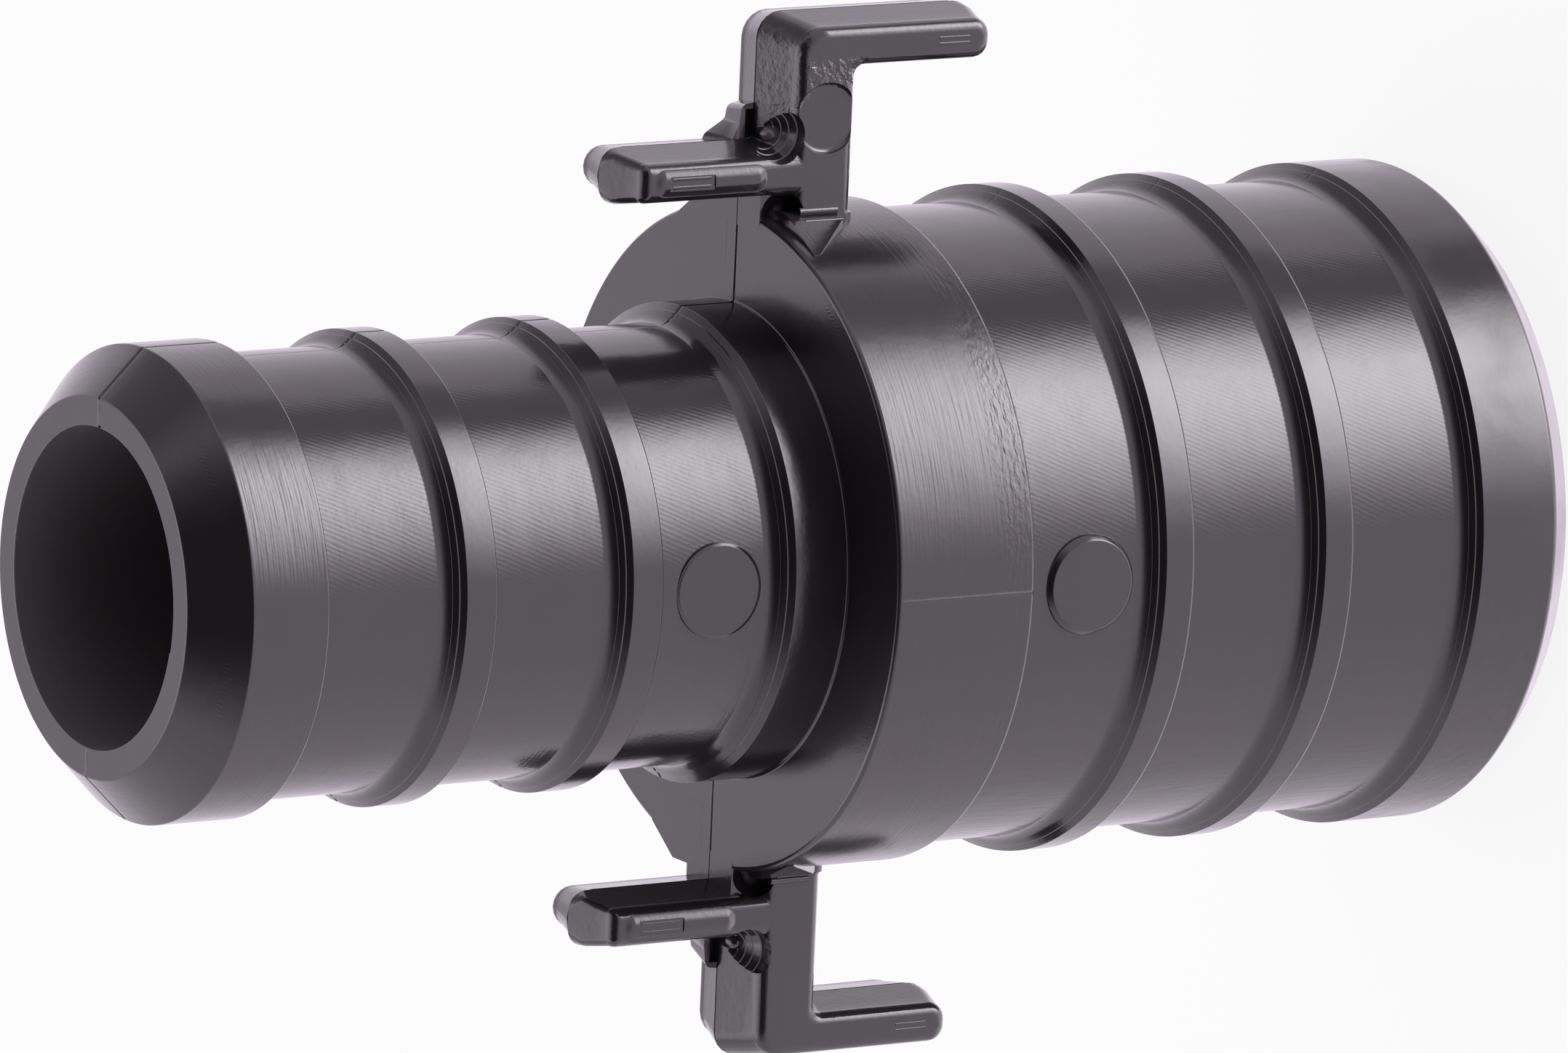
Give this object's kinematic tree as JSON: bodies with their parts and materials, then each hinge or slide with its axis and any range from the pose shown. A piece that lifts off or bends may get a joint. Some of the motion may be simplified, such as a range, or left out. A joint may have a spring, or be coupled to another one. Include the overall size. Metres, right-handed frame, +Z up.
{
  "type": "reducing pipe coupling",
  "caption": "Moulded plastic reducing coupling for crimped flexible water pipe: ribbed barbs on both ends, a plain collar between them and side arms whose fingers stop the crimp rings.",
  "frame": {"origin": "centre of the large end face, on the bore's axis", "axes": "+Z up along the bore from the large end to the small end, X through the two arms, Y across the parting plane"},
  "size_m": [0.0284, 0.018, 0.0406],
  "materials": {
    "moulded_plastic": "semi-gloss charcoal injection moulding with faint tool marks"
  },
  "bodies": {
    "root": {"reducing_coupling": "moulded_plastic"}
  },
  "joints": []
}
